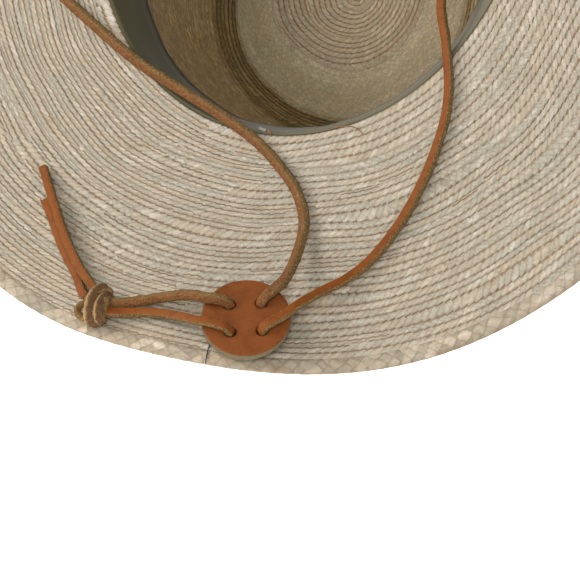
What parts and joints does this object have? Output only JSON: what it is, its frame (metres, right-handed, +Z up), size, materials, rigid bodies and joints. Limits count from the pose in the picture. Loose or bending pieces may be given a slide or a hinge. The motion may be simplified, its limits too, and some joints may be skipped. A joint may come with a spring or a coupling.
{
  "type": "rancher hat",
  "caption": "Plaited straw rancher hat lying on its crown, with a cloth sweatband, a leather chin lace, a round slider disc and a knot",
  "frame": {"origin": "On the surface that the hat lies on, under the middle of the brim. The hat lies on its crown, so the side that faces the head is up.", "axes": "+Z is up, from the crown's ridge to the head opening. +Y is the front of the hat, -Y its back, where the slider lies. +X is the wearer's right side."},
  "size_m": [0.3718, 0.3974, 0.1484],
  "materials": {
    "straw": "matte plaited straw",
    "straw_edge": "matte plaited straw, herringbone",
    "band_cloth": "matte woven cloth",
    "lace_leather": "suede with one smooth side",
    "disc_leather": "smooth satin leather"
  },
  "bodies": {
    "root": {"crown": "straw", "brim": "straw", "edge_plait": "straw_edge", "sweatband": "band_cloth", "chin_lace_left": "lace_leather", "chin_lace_right": "lace_leather", "slider_disc": "disc_leather", "lace_knot": "lace_leather", "lace_tail_long": "lace_leather", "lace_tail_short": "lace_leather"}
  },
  "joints": []
}
